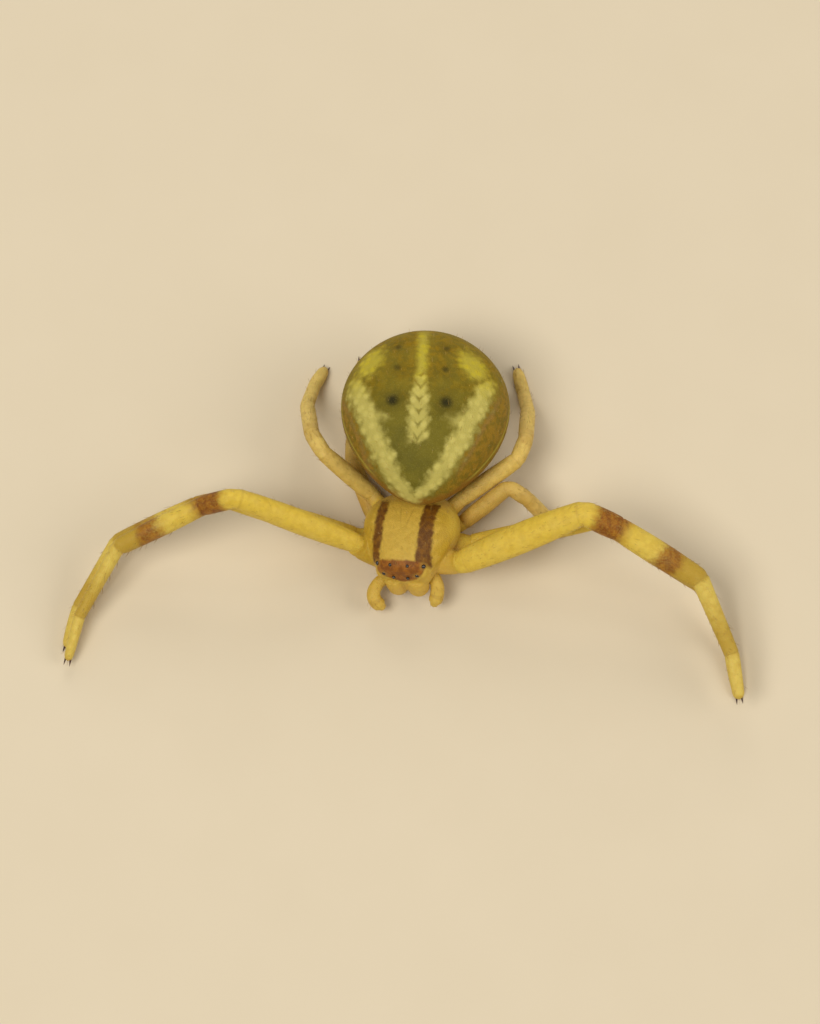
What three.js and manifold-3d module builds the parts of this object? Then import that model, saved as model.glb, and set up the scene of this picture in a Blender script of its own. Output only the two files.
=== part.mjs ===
// A female crab spider, life size, standing on a flat floor with her front legs spread.
// Millimetres, +Z up. She faces -Y, so her left side is +X. The origin is on the floor, under the middle.
import * as THREE from "three";
import { mergeVertices } from "three/addons/utils/BufferGeometryUtils.js";
import Module from "manifold-3d";

const wasm = await Module();
wasm.setup();

// Driving dimensions of the body
const jointGap = 0.25; // clear space between a part and what it grows from
const eyeGap = 0.03; // the same round an eye, which is itself only 0.2 across
const middle = [-0.643, -2.492]; // plan position of the footprint's middle, measured from the waist
const floorCut = 40; // side of the block that flattens the soles

// Front body: carapace above, sternum below
const prosoma = {
  centre: [-0.31, -3.05, 1.75],
  yaw: -9.5, // degrees, the face turned towards her right
  roll: -15, // degrees, the back leaning towards her right
  bend: 2.4, // how square the cross-section is, 2 being an ellipse
  face: [-0.1, -0.05], // the middle of the face, in front of the first row and its height
  waist: [0.02, -0.36], // the same behind the last row
  sides: 28,
  rows: 22,
  crowding: 1.35, // how much closer the rows are towards the face
};
// Rows of the front body: [place from the face to the waist, half width, top, underside]
const prosomaRows = [
  [-1.8, 0.88, 0.5, -0.56],
  [-1.72, 0.99, 0.76, -0.64],
  [-1.45, 1.09, 0.95, -0.78],
  [-1.0, 1.34, 1.06, -0.86],
  [-0.4, 1.66, 1.12, -0.93],
  [0.2, 1.8, 1.1, -0.95],
  [0.8, 1.66, 0.9, -0.9],
  [1.3, 1.24, 0.5, -0.78],
  [1.7, 0.66, 0.04, -0.64],
  [1.98, 0.34, -0.14, -0.6],
  [2.55, 0.28, -0.16, -0.58],
];

// Rear body, an egg that is widest behind its middle and undercut in front
const abdomen = {
  centre: [0.17, 0.9],
  halfLength: 3.44,
  halfWidth: 3.07,
  rise: 2.2, // from the axis to the back
  depth: 2.85, // from the axis to the belly
  axis: 3.0, // height of the axis at the rear
  lift: 0.62, // how much higher the axis is in front
  tailSwell: 0.53, // how much wider the rear half is than the front half
  endTaper: 0.4, // how much slimmer both ends are than an ellipse
  tailDepth: 0.25, // how much deeper the rear half hangs
  undercut: 1.9, // how far the belly rises in front
  yaw: -3.3,
  bend: 2.1,
  sides: 34,
  rows: 24,
};

// Lengths of coxa, trochanter, femur, patella, tibia, metatarsus and tarsus in each pair
const legLengths = {
  I: [0.45, 0.32, 5.0, 1.42, 3.55, 2.95, 1.6],
  II: [0.35, 0.22, 4.9, 1.35, 3.3, 2.75, 1.5],
  III: [0.3, 0.2, 2.12, 0.85, 1.4, 1.0, 0.88],
  IV: [0.32, 0.22, 2.5, 0.92, 2.05, 1.35, 0.9],
};
// Radius at the start, middle and end of each of the same seven pieces
const legRadii = {
  I: [[0.42, 0.44, 0.42], [0.4, 0.41, 0.41], [0.44, 0.54, 0.42], [0.42, 0.45, 0.43],
    [0.41, 0.45, 0.38], [0.32, 0.29, 0.26], [0.26, 0.24, 0.2]],
  II: [[0.33, 0.35, 0.34], [0.33, 0.33, 0.34], [0.37, 0.42, 0.36], [0.36, 0.38, 0.36],
    [0.35, 0.37, 0.32], [0.29, 0.27, 0.25], [0.25, 0.25, 0.2]],
  III: [[0.28, 0.29, 0.28], [0.27, 0.27, 0.27], [0.29, 0.32, 0.28], [0.28, 0.29, 0.28],
    [0.27, 0.28, 0.26], [0.25, 0.25, 0.24], [0.24, 0.24, 0.19]],
  IV: [[0.28, 0.3, 0.29], [0.28, 0.28, 0.28], [0.3, 0.33, 0.29], [0.29, 0.3, 0.29],
    [0.28, 0.29, 0.27], [0.26, 0.25, 0.24], [0.24, 0.24, 0.19]],
};
// Where each leg leaves the body, then the heading and slope of its pieces in degrees.
// A heading of 0 points straight out and 90 to the rear. The last slope is left out on a standing leg,
// whose tarsus slopes down to the floor. flat is the section's breadth in plan and in height.
const legs = [
  { name: "leg_1_left", pair: "I", side: 1, root: [1.0, -4.15, 1.75], flat: [1.06, 0.9],
    heading: [-11, -8, 15, -21, -29, -65, -80], slope: [30, 47, 26, -16, -15, -22, -18] },
  { name: "leg_1_right", pair: "I", side: -1, root: [-1.8, -3.64, 1.42], flat: [0.82, 1.02],
    heading: [18, 24, 13, -4, -21, -58, -74], slope: [26, 41, 27, -31, -20, -24, -19] },
  { name: "leg_2_left", pair: "II", side: 1, root: [1.33, -3.27, 1.42], flat: [1, 0.96],
    heading: [-1, -7, 6, -27, -30, -66, -80], slope: [-19, -15, 18, -14, -17, -24] },
  { name: "leg_2_right", pair: "II", side: -1, root: [-1.87, -2.93, 0.92], flat: [1, 0.96],
    heading: [3, 6, 11, -5, -20, -58, -74], slope: [-8, 13, 20, -18, -19, -16] },
  { name: "leg_3_left", pair: "III", side: 1, root: [1.22, -2.62, 1.22], flat: [1, 1],
    heading: [26, 31, 33, -28, -22, -1, 12], slope: [-10, 16, 26, -23, -60, -35] },
  { name: "leg_3_right", pair: "III", side: -1, root: [-1.62, -2.3, 0.62], flat: [1, 1],
    heading: [68, 76, 70, 92, 95, 98, 92], slope: [-19, -4, 5, -8, -12, -10] },
  { name: "leg_4_left", pair: "IV", side: 1, root: [1.16, -2.0, 1.56], flat: [1, 1],
    heading: [42, 36, 32, 70, 86, 98, 105], slope: [14, 22, 17, -12, -41, -40] },
  { name: "leg_4_right", pair: "IV", side: -1, root: [-1.46, -1.82, 1.3], flat: [1, 1],
    heading: [54, 48, 33, 61, 83, 104, 116], slope: [10, 16, 33, -10, -40, -35] },
];
const legSides = { I: 10, II: 10, III: 8, IV: 8 };
const palpSides = 10;
const rootSink = 0.5; // how far a limb's axis starts inside the body, before the body is cut from it
const soleHeight = 0.13; // height of a standing tarsus tip's axis, which leaves a small flat sole
const claw = {
  length: 0.24,
  radii: [0.06, 0.048, 0.012],
  spread: 0.08, // half the space between the two roots
  splay: 1.4, // how much farther apart the tips are
  droop: 0.06,
  sink: 0.12, // how far the roots lie inside the tarsus
  lowest: 0.05, // height of a tip above the floor, at least
};
const kneeEase = 1.15; // bend radius at a joint, in limb radii
const leastEase = 0.05; // how far from a joint even the straightest bend starts
const mostEase = 0.45; // share of a piece that its bends may take
const sharpTurn = 0.6; // angle in radians past which a bend has more rings
const jointPinch = 0.93; // a limb is this much slimmer at a joint
const shortPiece = 0.6; // a piece shorter than this has one ring in its middle
const pieceStops = [0.14, 0.5, 0.86]; // places of the rings along a longer piece
const endNarrowing = 0.8; // radius of a limb's first and last rings, to that of the next ones
const tipBluntness = 0.5; // how far a limb's tip bulges past its last ring, in tip radii

// Palps: pieces from the root, with the same angles as the legs
const palpLengths = [0.24, 0.3, 0.22, 0.24, 0.38];
const palpRadii = [
  [0.22, 0.23, 0.23], [0.23, 0.24, 0.24], [0.24, 0.25, 0.25], [0.25, 0.26, 0.25], [0.25, 0.25, 0.17],
];
const palps = [
  { name: "palp_left", side: 1, root: [0.32, -4.42, 1.42], heading: [-42, -62, -82, -98, -112],
    slope: [-14, -24, -34, -36, -32] },
  { name: "palp_right", side: -1, root: [-1.33, -4.56, 1.04], heading: [-36, -56, -80, -112, -146],
    slope: [-6, -14, -24, -28, -24] },
];

// Chelicerae, each a stout cone under the face with a short fang
const chelicera = {
  spread: 0.43,
  top: [-1.62, -0.16],
  bottom: [-1.84, -1.0],
  radii: [0.4, 0.43, 0.27],
  lean: 0.86, // how much closer together the lower ends are
  fangReach: [-0.336, 0.12, -0.12], // from the lower end to the fang's tip: inwards, back and down
  fangRadii: [0.11, 0.088, 0.03],
};

// Eyes, on the front rim of the carapace: [sideways, from the centre, up, radius]
const eyes = {
  front_middle: [0.27, -1.84, 0.36, 0.08],
  rear_middle: [0.33, -1.54, 0.86, 0.08],
  front_side: [0.63, -1.73, 0.46, 0.105],
  rear_side: [0.88, -1.44, 0.66, 0.1],
};
const eyeMound = 2.1; // radius of the mound under a side eye, in eye radii
const moundSink = 0.12; // how far the mound's centre lies inwards, back and down from the eye's

// Spinnerets, a close bunch under the tail: [sideways, up, radius, length] from a point inside it
const spinneretRoot = { back: 2.8, height: 1.95, pitch: -32 };
const spinnerets = [
  [0.19, -0.16, 0.19, 0.85],
  [0.17, 0.2, 0.15, 0.72],
];
const spinneretTaper = [1, 1.05, 0.6]; // radius at the root, middle and tip, to the first

const skin = {
  abdomen: new THREE.MeshStandardMaterial({ color: 0x8c8a3c, roughness: 0.5, metalness: 0 }),
  prosoma: new THREE.MeshStandardMaterial({ color: 0xc9a74a, roughness: 0.45, metalness: 0 }),
  limb: new THREE.MeshStandardMaterial({ color: 0xd9b93c, roughness: 0.45, metalness: 0 }),
  eye: new THREE.MeshStandardMaterial({ color: 0x0d0806, roughness: 0.1, metalness: 0 }),
};

const radians = THREE.MathUtils.degToRad;
const mix = THREE.MathUtils.lerp;

// A closed surface from rings of points, with a point at each end
function loft(rings, first, last) {
  const sides = rings[0].length;
  const points = [first, ...rings.flat(), last];
  const faces = [];
  for (let k = 0; k < sides; k++) {
    const next = (k + 1) % sides;
    faces.push(0, 1 + next, 1 + k);
    for (let r = 0; r + 1 < rings.length; r++) {
      const a = 1 + r * sides;
      const b = a + sides;
      faces.push(a + k, a + next, b + k, a + next, b + next, b + k);
    }
    const end = 1 + (rings.length - 1) * sides;
    faces.push(end + k, end + next, points.length - 1);
  }
  const geometry = new THREE.BufferGeometry().setFromPoints(points);
  geometry.setIndex(faces);
  return geometry;
}

// A closed geometry as a solid that can be joined and cut
function solid(geometry) {
  const plain = geometry.clone();
  plain.deleteAttribute("normal");
  plain.deleteAttribute("uv");
  const merged = mergeVertices(plain, 1e-4);
  const made = new wasm.Manifold(
    new wasm.Mesh({
      numProp: 3,
      vertProperties: merged.attributes.position.array,
      triVerts: new Uint32Array(merged.index.array),
    }),
  );
  return made;
}

// A named mesh of a solid's largest closed surface
function meshOf(name, made, material) {
  const largest = made.decompose().sort((a, b) => b.volume() - a.volume())[0];
  const found = largest.getMesh();
  const geometry = new THREE.BufferGeometry();
  geometry.setAttribute("position", new THREE.BufferAttribute(found.vertProperties, 3));
  geometry.setIndex(new THREE.BufferAttribute(found.triVerts, 1));
  geometry.computeVertexNormals();
  const mesh = new THREE.Mesh(geometry, material);
  mesh.name = name;
  return mesh;
}

// A point of a squared ellipse, widest at a level between its top and its underside
function sectionPoint(angle, halfWidth, top, underside, level, bend) {
  const power = 2 / bend;
  const c = Math.cos(angle);
  const s = Math.sin(angle);
  const reach = s > 0 ? top - level : level - underside;
  const x = halfWidth * Math.sign(c) * Math.abs(c) ** power;
  const z = level + reach * Math.sign(s) * Math.abs(s) ** power;
  return [x, z];
}

// A row's values between the rows of a table, smoothly
function rowAt(table, place) {
  const curves = [1, 2, 3].map((column) => table.map((row) => row[column]));
  let i = 0;
  while (i < table.length - 2 && place > table[i + 1][0]) i++;
  const span = table[i + 1][0] - table[i][0];
  const f = THREE.MathUtils.clamp((place - table[i][0]) / span, 0, 1);
  const slope = (values, k) => {
    const a = Math.max(k - 1, 0);
    const b = Math.min(k + 1, values.length - 1);
    return (values[b] - values[a]) / (table[b][0] - table[a][0]);
  };
  return curves.map((v) => {
    const m0 = slope(v, i) * span;
    const m1 = slope(v, i + 1) * span;
    const late = f * f * (3 - 2 * f);
    const bulge = f * (1 - f);
    return mix(v[i], v[i + 1], late) + bulge * ((1 - f) * m0 - f * m1);
  });
}

const prosomaFrame = new THREE.Matrix4()
  .makeTranslation(...prosoma.centre)
  .multiply(new THREE.Matrix4().makeRotationZ(radians(prosoma.yaw)))
  .multiply(new THREE.Matrix4().makeRotationY(radians(prosoma.roll)));
const onProsoma = (x, y, z) => new THREE.Vector3(x, y, z).applyMatrix4(prosomaFrame);

// The front body, grown all round by a margin when it cuts the parts that grow from it
function prosomaSolid(margin) {
  const from = prosomaRows[0][0];
  const to = prosomaRows[prosomaRows.length - 1][0];
  const rings = [];
  for (let r = 0; r <= prosoma.rows; r++) {
    const share = r / prosoma.rows;
    const place = mix(from, to, share ** prosoma.crowding);
    const [halfWidth, top, underside] = rowAt(prosomaRows, place);
    const ring = [];
    const level = (underside + top) / 2;
    for (let k = 0; k < prosoma.sides; k++) {
      const angle = (-2 * Math.PI * k) / prosoma.sides;
      const [x, z] = sectionPoint(
        angle, halfWidth + margin, top + margin, underside - margin, level, prosoma.bend,
      );
      const push = r === 0 ? -margin : r === prosoma.rows ? margin : 0;
      ring.push(onProsoma(x, place + push, z));
    }
    rings.push(ring);
  }
  const [faceBulge, faceLevel] = prosoma.face;
  const [waistBulge, waistLevel] = prosoma.waist;
  const first = onProsoma(0, from + faceBulge - margin, faceLevel);
  const last = onProsoma(0, to + waistBulge + margin, waistLevel);
  return solid(loft(rings, first, last));
}

// Half width, back height and belly height of the rear body at a place from -1, the front, to 1, the tail
function abdomenRow(t) {
  const round = Math.sqrt(Math.max(1 - t * t, 0));
  const width = (abdomen.halfWidth + abdomen.tailSwell * t - abdomen.endTaper * t * t) * round;
  const axis = abdomen.axis + abdomen.lift * ((1 - t) / 2) ** 2;
  const front = Math.min(t, 0);
  const depth = (abdomen.depth + abdomen.tailDepth * t - abdomen.undercut * front * front) * round;
  return { width, axis, top: abdomen.rise * round, underside: -depth };
}

const abdomenFrame = new THREE.Matrix4()
  .makeTranslation(abdomen.centre[0], abdomen.centre[1], 0)
  .multiply(new THREE.Matrix4().makeRotationZ(radians(abdomen.yaw)));

// A point of the rear body's surface, at a place along it and an angle round it
function abdomenPoint(t, angle) {
  const row = abdomenRow(t);
  const [x, z] = sectionPoint(angle, row.width, row.top, row.underside, 0, abdomen.bend);
  return new THREE.Vector3(x, t * abdomen.halfLength, row.axis + z).applyMatrix4(abdomenFrame);
}

function abdomenSolid() {
  const rings = [];
  for (let r = 1; r < abdomen.rows; r++) {
    const t = -Math.cos((Math.PI * r) / abdomen.rows);
    const ring = [];
    for (let k = 0; k < abdomen.sides; k++) {
      ring.push(abdomenPoint(t, (-2 * Math.PI * k) / abdomen.sides));
    }
    rings.push(ring);
  }
  return solid(loft(rings, abdomenPoint(-1, 0), abdomenPoint(1, 0)));
}

// Direction of a limb's piece
function direction(side, heading, slope) {
  const h = radians(heading);
  const s = radians(slope);
  return new THREE.Vector3(side * Math.cos(h) * Math.cos(s), Math.sin(h) * Math.cos(s), Math.sin(s));
}

// The joints of a limb, from a little inside the body to its tip
function limbJoints(limb, lengths) {
  const at = new THREE.Vector3(...limb.root);
  const joints = [at.clone().addScaledVector(direction(limb.side, limb.heading[0], limb.slope[0]), -rootSink)];
  lengths.forEach((length, i) => {
    const last = i === lengths.length - 1 && limb.slope.length < lengths.length;
    const slope = last
      ? -THREE.MathUtils.radToDeg(Math.asin((at.z - soleHeight) / length))
      : limb.slope[i];
    at.addScaledVector(direction(limb.side, limb.heading[i], slope), length);
    joints.push(at.clone());
  });
  return joints;
}

// Points and radii along a limb, straight in its pieces and rounded at its joints
function limbPath(joints, radii) {
  const path = [];
  const along = joints.slice(1).map((joint, i) => joint.clone().sub(joints[i]));
  const reach = along.map((step) => step.length());
  along.forEach((step) => step.normalize());
  const radiusAt = (i, f) => {
    const [a, b, c] = radii[i];
    const bow = 4 * f * (1 - f);
    return mix(a, c, f) + (b - (a + c) / 2) * bow;
  };
  // How far from a joint its bend starts
  const ease = joints.map((_, j) => {
    if (j === 0 || j === joints.length - 1) return 0;
    const turn = along[j - 1].angleTo(along[j]);
    const wanted = kneeEase * radiusAt(j, 0) * Math.tan(turn / 2);
    return Math.min(wanted + leastEase, mostEase * Math.min(reach[j - 1], reach[j]));
  });
  for (let i = 0; i < along.length; i++) {
    const from = ease[i] / reach[i];
    const to = 1 - ease[i + 1] / reach[i];
    for (const stop of reach[i] < shortPiece ? [0.5] : pieceStops) {
      const f = mix(from, to, stop);
      const at = joints[i].clone().addScaledVector(along[i], f * reach[i]);
      path.push({ at, radius: radiusAt(i, f) });
    }
    if (i + 1 === along.length) break;
    const before = joints[i + 1].clone().addScaledVector(along[i], -ease[i + 1]);
    const after = joints[i + 1].clone().addScaledVector(along[i + 1], ease[i + 1]);
    const turn = along[i].angleTo(along[i + 1]);
    const steps = turn > sharpTurn ? 4 : 2;
    for (let k = 0; k <= steps; k++) {
      const f = k / steps;
      const at = before.clone().lerp(joints[i + 1], f).lerp(joints[i + 1].clone().lerp(after, f), f);
      const radius = mix(radiusAt(i, to), radiusAt(i + 1, ease[i + 1] / reach[i + 1]), f);
      path.push({ at, radius: radius * mix(1, jointPinch, 4 * f * (1 - f)) });
    }
  }
  return path;
}

// A limb as one closed skin along its path, with a blunt tip, and claws where it is a leg
function limbSolid(limb, lengths, radii, sides) {
  const joints = limbJoints(limb, lengths);
  const path = limbPath(joints, radii);
  const tip = joints[joints.length - 1];
  const end = radii[radii.length - 1][2];
  path.unshift({ at: joints[0], radius: radii[0][0] * endNarrowing });
  path.push({ at: tip, radius: end * endNarrowing });
  const [wide, high] = limb.flat ?? [1, 1];
  const rings = path.map(({ at, radius }, i) => {
    const before = path[Math.max(i - 1, 0)].at;
    const after = path[Math.min(i + 1, path.length - 1)].at;
    const tangent = after.clone().sub(before).normalize();
    const across = new THREE.Vector3(0, 0, 1).cross(tangent).normalize();
    const up = tangent.clone().cross(across);
    return Array.from({ length: sides }, (_, k) => {
      const angle = (2 * Math.PI * k) / sides;
      return at.clone()
        .addScaledVector(across, wide * radius * Math.cos(angle))
        .addScaledVector(up, high * radius * Math.sin(angle));
    });
  });
  const out = tip.clone().sub(joints[joints.length - 2]).normalize();
  const last = tip.clone().addScaledVector(out, end * tipBluntness);
  const whole = solid(loft(rings, joints[0], last));
  return limb.pair ? clawSolids(tip, out).reduce((body, hook) => body.add(hook), whole) : whole;
}

// A tapered piece between two points
function coneSolid(from, to, radii, sides) {
  const axis = to.clone().sub(from);
  const across = new THREE.Vector3(1, 0, 0).cross(axis).normalize();
  const up = axis.clone().normalize().cross(across);
  const rings = radii.map((radius, r) => {
    const at = from.clone().addScaledVector(axis, r / (radii.length - 1));
    return Array.from({ length: sides }, (_, k) => {
      const angle = (2 * Math.PI * k) / sides;
      return at.clone()
        .addScaledVector(across, radius * Math.cos(angle))
        .addScaledVector(up, radius * Math.sin(angle));
    });
  });
  const cap = axis.clone().normalize().multiplyScalar(radii[radii.length - 1] * tipBluntness);
  return solid(loft(rings, from, to.clone().add(cap)));
}

// The pair of small claws at a leg's tip, bent down a little
function clawSolids(tip, out) {
  const across = new THREE.Vector3(0, 0, 1).cross(out).normalize();
  return [1, -1].map((side) => {
    const from = tip.clone().addScaledVector(across, side * claw.spread).addScaledVector(out, -claw.sink);
    const splay = side * claw.spread * claw.splay;
    const to = tip.clone().addScaledVector(across, splay).addScaledVector(out, claw.length);
    to.z = Math.max(to.z - claw.droop, claw.lowest);
    return coneSolid(from, to, claw.radii, 6);
  });
}

function ball(centre, radius, detail) {
  const geometry = new THREE.SphereGeometry(radius, detail, Math.ceil(detail / 2));
  geometry.translate(centre.x, centre.y, centre.z);
  return solid(geometry);
}

const floor = solid(new THREE.BoxGeometry(floorCut, floorCut, 2).translate(0, 0, -1));

const spider = new THREE.Group();
const prosomaCutter = prosomaSolid(jointGap);

// The front body, with a mound under each side eye and a socket for every eye
function addProsoma() {
  let body = prosomaSolid(0);
  const sockets = [];
  for (const [name, [x, y, z, radius]] of Object.entries(eyes)) {
    for (const side of [1, -1]) {
      const at = onProsoma(side * x, y, z);
      if (name.endsWith("side")) {
        const inside = onProsoma(side * (x - moundSink), y + moundSink, z - moundSink);
        body = body.add(ball(inside, radius * eyeMound, 12));
      }
      sockets.push(ball(at, radius + eyeGap, 10));
      const label = `eye_${name}_${side > 0 ? "left" : "right"}`;
      spider.add(meshOf(label, ball(at, radius, 10), skin.eye));
    }
  }
  for (const socket of sockets) body = body.subtract(socket);
  spider.add(meshOf("prosoma", body, skin.prosoma));
}

function addAbdomen() {
  let body = abdomenSolid().subtract(prosomaCutter);
  const tail = direction(1, 90, spinneretRoot.pitch).transformDirection(abdomenFrame);
  for (const [x, z, radius, length] of spinnerets) {
    for (const side of [1, -1]) {
      const height = spinneretRoot.height + z;
      const from = new THREE.Vector3(side * x, spinneretRoot.back, height).applyMatrix4(abdomenFrame);
      const to = from.clone().addScaledVector(tail, length);
      const radii = spinneretTaper.map((share) => share * radius);
      body = body.add(coneSolid(from, to, radii, 8));
    }
  }
  spider.add(meshOf("abdomen", body, skin.abdomen));
}

function addLegs() {
  for (const leg of legs) {
    const whole = limbSolid(leg, legLengths[leg.pair], legRadii[leg.pair], legSides[leg.pair]);
    spider.add(meshOf(leg.name, whole.subtract(prosomaCutter).subtract(floor), skin.limb));
  }
}

function addPalps() {
  for (const palp of palps) {
    const whole = limbSolid(palp, palpLengths, palpRadii, palpSides);
    spider.add(meshOf(palp.name, whole.subtract(prosomaCutter), skin.limb));
  }
}

function addChelicerae() {
  for (const side of [1, -1]) {
    const place = ([y, z], x) => onProsoma(side * x, y, z);
    const bottom = place(chelicera.bottom, chelicera.spread * chelicera.lean);
    const base = coneSolid(place(chelicera.top, chelicera.spread), bottom, chelicera.radii, 12);
    const [inwards, back, down] = chelicera.fangReach;
    const fangTip = bottom.clone().add(new THREE.Vector3(side * inwards, back, down));
    const fang = coneSolid(bottom, fangTip, chelicera.fangRadii, 8);
    const whole = base.add(fang).subtract(prosomaCutter);
    spider.add(meshOf(`chelicera_${side > 0 ? "left" : "right"}`, whole, skin.prosoma));
  }
}

addProsoma();
addAbdomen();
addLegs();
addPalps();
addChelicerae();
spider.position.set(-middle[0], -middle[1], 0);

export default spider;
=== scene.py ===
# A female crab spider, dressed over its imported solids.
# Sizes are in millimetres until a mesh is made. She faces -Y, so her left side is +X.
import math

import bpy
from mathutils import Matrix, Vector


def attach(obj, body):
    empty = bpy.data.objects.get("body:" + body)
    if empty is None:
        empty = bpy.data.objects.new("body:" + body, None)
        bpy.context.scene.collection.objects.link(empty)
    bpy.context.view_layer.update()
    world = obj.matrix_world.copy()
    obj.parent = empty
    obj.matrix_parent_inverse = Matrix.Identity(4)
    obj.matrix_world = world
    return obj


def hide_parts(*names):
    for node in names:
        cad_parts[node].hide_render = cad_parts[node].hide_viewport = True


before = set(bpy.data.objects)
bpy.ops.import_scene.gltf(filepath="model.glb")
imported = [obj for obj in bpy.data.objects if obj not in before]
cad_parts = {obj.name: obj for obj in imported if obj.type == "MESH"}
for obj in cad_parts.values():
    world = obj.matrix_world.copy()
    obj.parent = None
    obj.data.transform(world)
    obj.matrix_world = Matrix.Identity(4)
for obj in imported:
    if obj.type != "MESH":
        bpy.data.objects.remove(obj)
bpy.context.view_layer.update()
millimetre = 0.001
waist = Vector((0.643, 2.492, 0))  # from the point that the body is set out from to the frame's origin
print("frame loaded")


class Wire:  # a socket in a material, whose sums add Math nodes
    def __init__(self, paint, socket):
        self.paint = paint
        self.socket = socket

    def maths(self, operation, *others):
        return self.paint.node("ShaderNodeMath", {"operation": operation}, [self, *others])

    def __add__(self, other):
        return self.maths("ADD", other)

    def __sub__(self, other):
        return self.maths("SUBTRACT", other)

    def __rsub__(self, other):
        return self.paint.node("ShaderNodeMath", {"operation": "SUBTRACT"}, [other, self])

    def __mul__(self, other):
        return self.maths("MULTIPLY", other)

    def __truediv__(self, other):
        return self.maths("DIVIDE", other)

    def __pow__(self, other):
        return self.maths("POWER", other)

    def __abs__(self):
        return self.maths("ABSOLUTE")

    __radd__ = __add__
    __rmul__ = __mul__

    def least(self, other):
        return self.maths("MINIMUM", other)

    def most(self, other):
        return self.maths("MAXIMUM", other)

    def rise(self, low, high):  # 0 below low, 1 above high, smooth between
        limits = {0: self, 1: low, 2: high, 3: 0, 4: 1}
        return self.paint.node("ShaderNodeMapRange", {"interpolation_type": "SMOOTHSTEP"}, limits)

    def fall(self, low, high):
        return 1 - self.rise(low, high)


class Paint:  # one material, wired node by node
    def __init__(self, name, constants):
        self.material = bpy.data.materials.new(name)
        self.material.use_nodes = True
        self.tree = self.material.node_tree
        self.shader = self.tree.nodes["Principled BSDF"]
        for socket, value in constants.items():
            self.shader.inputs[socket].default_value = value
        place = self.node("ShaderNodeTexCoord", output="Object")
        self.place = self.node("ShaderNodeVectorMath", {"operation": "SCALE"}, {0: place, "Scale": 1000})

    def node(self, kind, settings=None, inputs=None, output=0):
        made = self.tree.nodes.new(kind)
        for key, value in (settings or {}).items():
            setattr(made, key, value)
        given = inputs or {}
        for key, value in given.items() if isinstance(given, dict) else enumerate(given):
            if isinstance(value, Wire):
                self.tree.links.new(value.socket, made.inputs[key])
            else:
                made.inputs[key].default_value = value
        return Wire(self, made.outputs[output])

    def along(self, axis, centre):  # distance from a centre along an axis, in millimetres
        away = self.node("ShaderNodeVectorMath", {"operation": "SUBTRACT"}, [self.place, tuple(centre)])
        return self.node("ShaderNodeVectorMath", {"operation": "DOT_PRODUCT"}, [away, tuple(axis)], "Value")

    def cloud(self, scale, detail=2):  # noise from 0 to 1, scale in bumps per millimetre
        look = {"Vector": self.place, "Scale": scale, "Detail": detail}
        return self.node("ShaderNodeTexNoise", inputs=look)

    def clouds(self, broad, patchy, fine):  # three sizes of cloud, from -0.5 to 0.5
        return [self.cloud(scale, detail) - 0.5 for scale, detail in ((broad, 2), (patchy, 3), (fine, 2))]

    def grain(self, scale):  # distance to the nearest of many scattered points
        return self.node("ShaderNodeTexVoronoi", inputs={"Vector": self.place, "Scale": scale})

    def attribute(self, name):
        return self.node("ShaderNodeAttribute", {"attribute_name": name}, output="Fac")

    def mix(self, factor, under, over):
        under = under if isinstance(under, Wire) else (*under, 1)
        over = over if isinstance(over, Wire) else (*over, 1)
        return self.node("ShaderNodeMix", {"data_type": "RGBA"}, {0: factor, 6: under, 7: over}, 2)

    def finish(self, colour, roughness, height, depth):  # depth of the bump in millimetres
        shape = {"Height": height, "Distance": depth * millimetre, "Strength": 1.0}
        bump = self.node("ShaderNodeBump", inputs=shape)
        for socket, wire in {"Base Color": colour, "Roughness": roughness, "Normal": bump}.items():
            self.tree.links.new(wire.socket, self.shader.inputs[socket])
        return self.material


def makeMesh(name, points, faces, attributes=None):
    mesh = bpy.data.meshes.new(name)
    mesh.from_pydata([Vector(p) * millimetre for p in points], [], faces)
    for key, values in (attributes or {}).items():
        kind = "FLOAT_VECTOR" if isinstance(values[0], Vector) else "FLOAT"
        layer = mesh.attributes.new(key, kind, "POINT")
        for item, value in zip(layer.data, values):
            if kind == "FLOAT":
                item.value = value
            else:
                item.vector = value
    mesh.update()
    mesh.shade_smooth()
    return mesh


def addObject(name, mesh):
    made = bpy.data.objects.new(name, mesh)
    bpy.context.scene.collection.objects.link(made)
    return made


def dress(name, mesh, material, replaced=()):
    mesh.materials.clear()
    mesh.materials.append(material)
    piece = addObject(name, mesh)
    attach(piece, "root")
    if replaced:
        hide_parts(*replaced)
    print(name, len(mesh.polygons), "faces")
    return piece


def loft(rings, first, last):  # a closed surface from rings of points, with a point at each end
    sides = len(rings[0])
    points = [first, *(p for ring in rings for p in ring), last]
    faces = []
    for k in range(sides):
        after = (k + 1) % sides
        faces.append((0, 1 + after, 1 + k))
        for r in range(len(rings) - 1):
            a = 1 + r * sides
            faces.append((a + k, a + after, a + sides + after, a + sides + k))
        end = 1 + (len(rings) - 1) * sides
        faces.append((end + k, end + after, len(points) - 1))
    return points, faces


def joined(surfaces):  # several closed surfaces as one list of points and faces
    points, faces = [], []
    for more, rims in surfaces:
        start = len(points)
        points += more
        faces += [tuple(i + start for i in rim) for rim in rims]
    return points, faces


def melted(name, surfaces, voxel, rounds):  # overlapping surfaces melted into one skin
    points, faces = joined(surfaces)
    mesh = bpy.data.meshes.new(name)
    mesh.from_pydata(points, [], faces)
    rough = addObject(name + "Rough", mesh)
    remesh = rough.modifiers.new("melt", "REMESH")
    remesh.mode = "VOXEL"
    remesh.voxel_size = voxel
    smooth = rough.modifiers.new("smooth", "SMOOTH")
    smooth.factor = 0.5
    smooth.iterations = rounds
    graph = bpy.context.evaluated_depsgraph_get()
    skin = bpy.data.meshes.new_from_object(rough.evaluated_get(graph))
    bpy.data.objects.remove(rough)
    skin.transform(Matrix.Scale(millimetre, 4))
    skin.shade_smooth()
    return skin


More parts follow.
